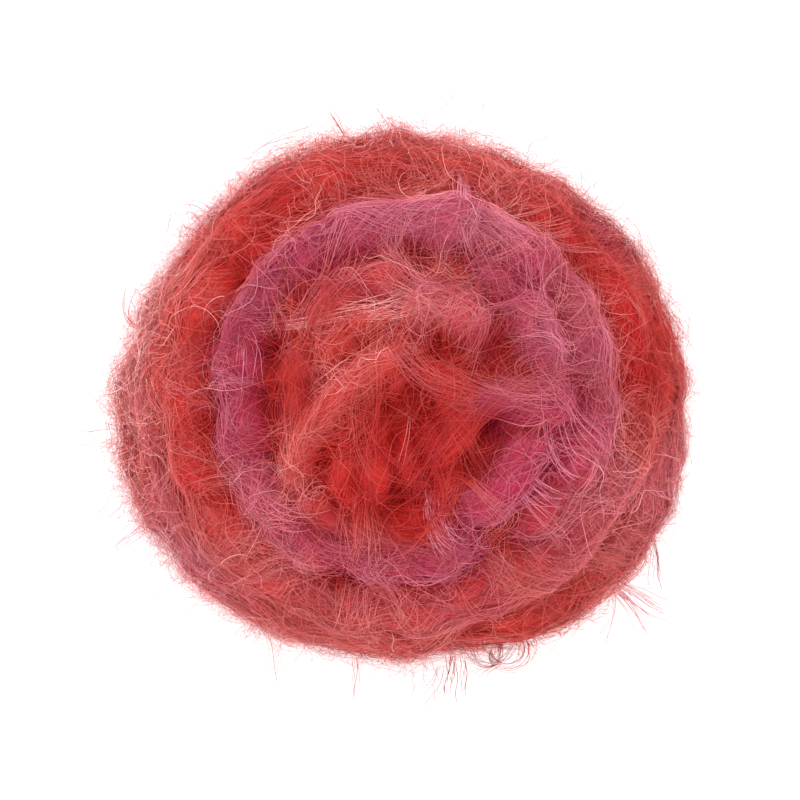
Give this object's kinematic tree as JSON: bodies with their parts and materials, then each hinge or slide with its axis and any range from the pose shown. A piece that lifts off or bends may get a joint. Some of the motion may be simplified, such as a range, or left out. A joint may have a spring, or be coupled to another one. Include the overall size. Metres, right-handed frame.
{
  "type": "ball of knitting yarn",
  "caption": "Machine-wound ball of thick brushed yarn, standing on its flat lower end, with a shallow hollow where the winding starts at its upper end.",
  "frame": {"origin": "where the winding axis meets the surface the ball stands on, in the middle of its flat lower end", "axes": "+Z up along the winding axis, out of the end with the hollow; +X to the right and +Y up as the picture shows that end"},
  "size_m": [0.1081, 0.1007, 0.0751],
  "materials": {
    "yarn": "brushed, long pile, dyed in stripes of red, coral and magenta"
  },
  "bodies": {
    "root": {"yarn_ball": "yarn"}
  },
  "joints": []
}
